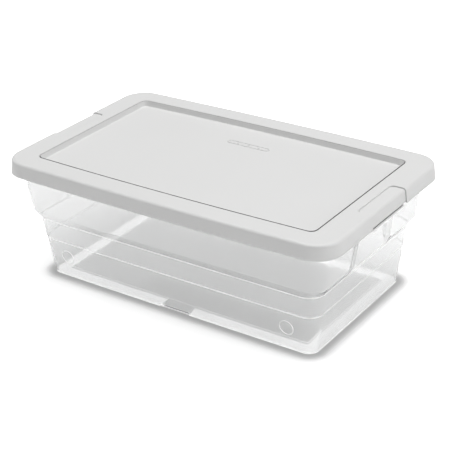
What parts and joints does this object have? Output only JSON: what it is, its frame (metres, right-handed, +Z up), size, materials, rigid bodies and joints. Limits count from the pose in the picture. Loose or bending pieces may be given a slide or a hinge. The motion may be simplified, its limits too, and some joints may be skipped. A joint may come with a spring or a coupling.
{
  "type": "shoe box",
  "caption": "Clear plastic shoe box with drafted stepped walls, foot rails and finger indents, closed by an opaque press-fit lid with a sunk top panel and end tabs.",
  "frame": {"origin": "middle of the underside, on the surface that the box stands on", "axes": "+X along the length, +Y along the width away from the wall with the moulding marks, +Z up"},
  "size_m": [0.346, 0.2096, 0.119],
  "materials": {
    "clear_plastic": "clear, faintly milky moulded polypropylene, gloss",
    "lid_plastic": "opaque pale grey-white moulded plastic, fine satin grain"
  },
  "bodies": {
    "tub": {"tub": "clear_plastic"},
    "lid": {"lid": "lid_plastic"}
  },
  "joints": [
    {"name": "lid_lift", "type": "slide", "parent": "tub", "child": "lid", "axis": [0, 0, 1], "range_m": [0, 0.15]}
  ]
}
